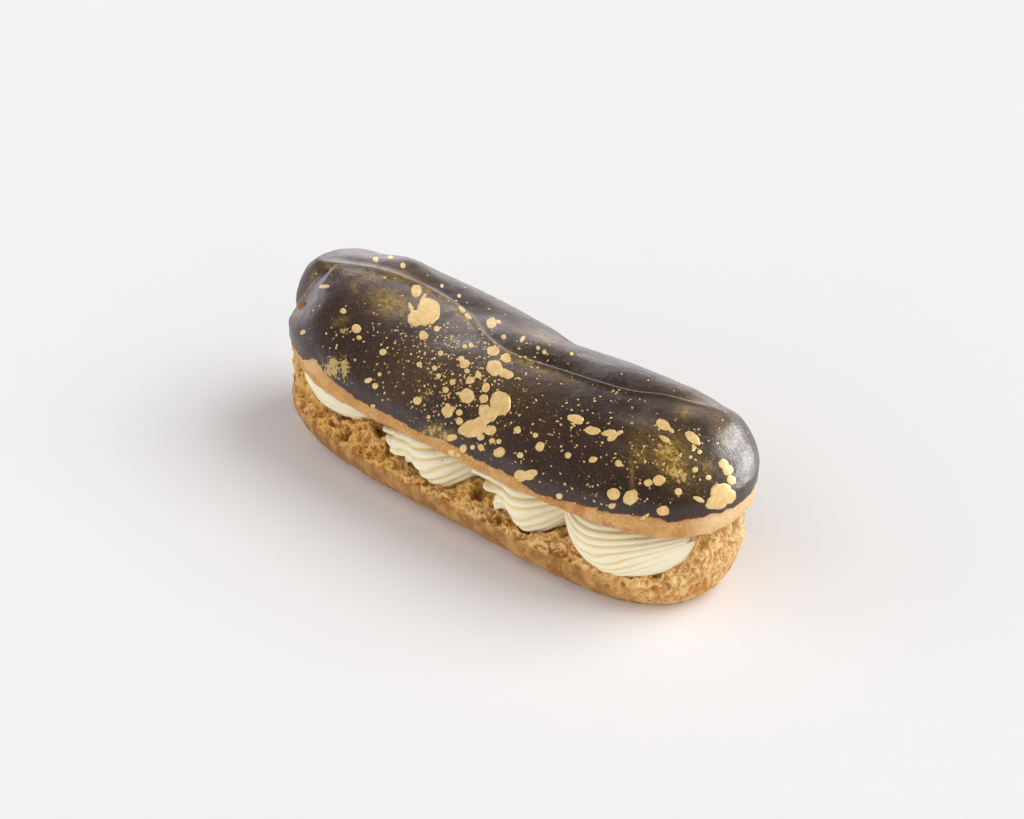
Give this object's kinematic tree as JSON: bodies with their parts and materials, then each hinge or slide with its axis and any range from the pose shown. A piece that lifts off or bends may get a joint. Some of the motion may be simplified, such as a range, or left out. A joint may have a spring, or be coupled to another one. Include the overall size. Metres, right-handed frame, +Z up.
{
  "type": "chocolate eclair",
  "caption": "Chocolate eclair: a long choux bun split lengthwise, filled with piped cream swirls and coated on top with chocolate icing.",
  "frame": {"origin": "on the table, under the middle of the eclair", "axes": "+X along the eclair, towards the end nearest the camera in the picture; -Y to the front; +Z up"},
  "size_m": [0.1448, 0.0547, 0.0485],
  "materials": {
    "choux_crumb": "matt baked choux, smooth crust below and open crumb above",
    "choux_crust": "matt pale choux crust",
    "cream": "soft satin whipped cream",
    "chocolate": "satin dark chocolate",
    "gold": "matt gold spatter on the chocolate"
  },
  "bodies": {
    "root": {"choux_base": "choux_crumb", "cream_filling": "cream", "choux_lid": "choux_crust", "chocolate_icing": "chocolate"}
  },
  "joints": []
}
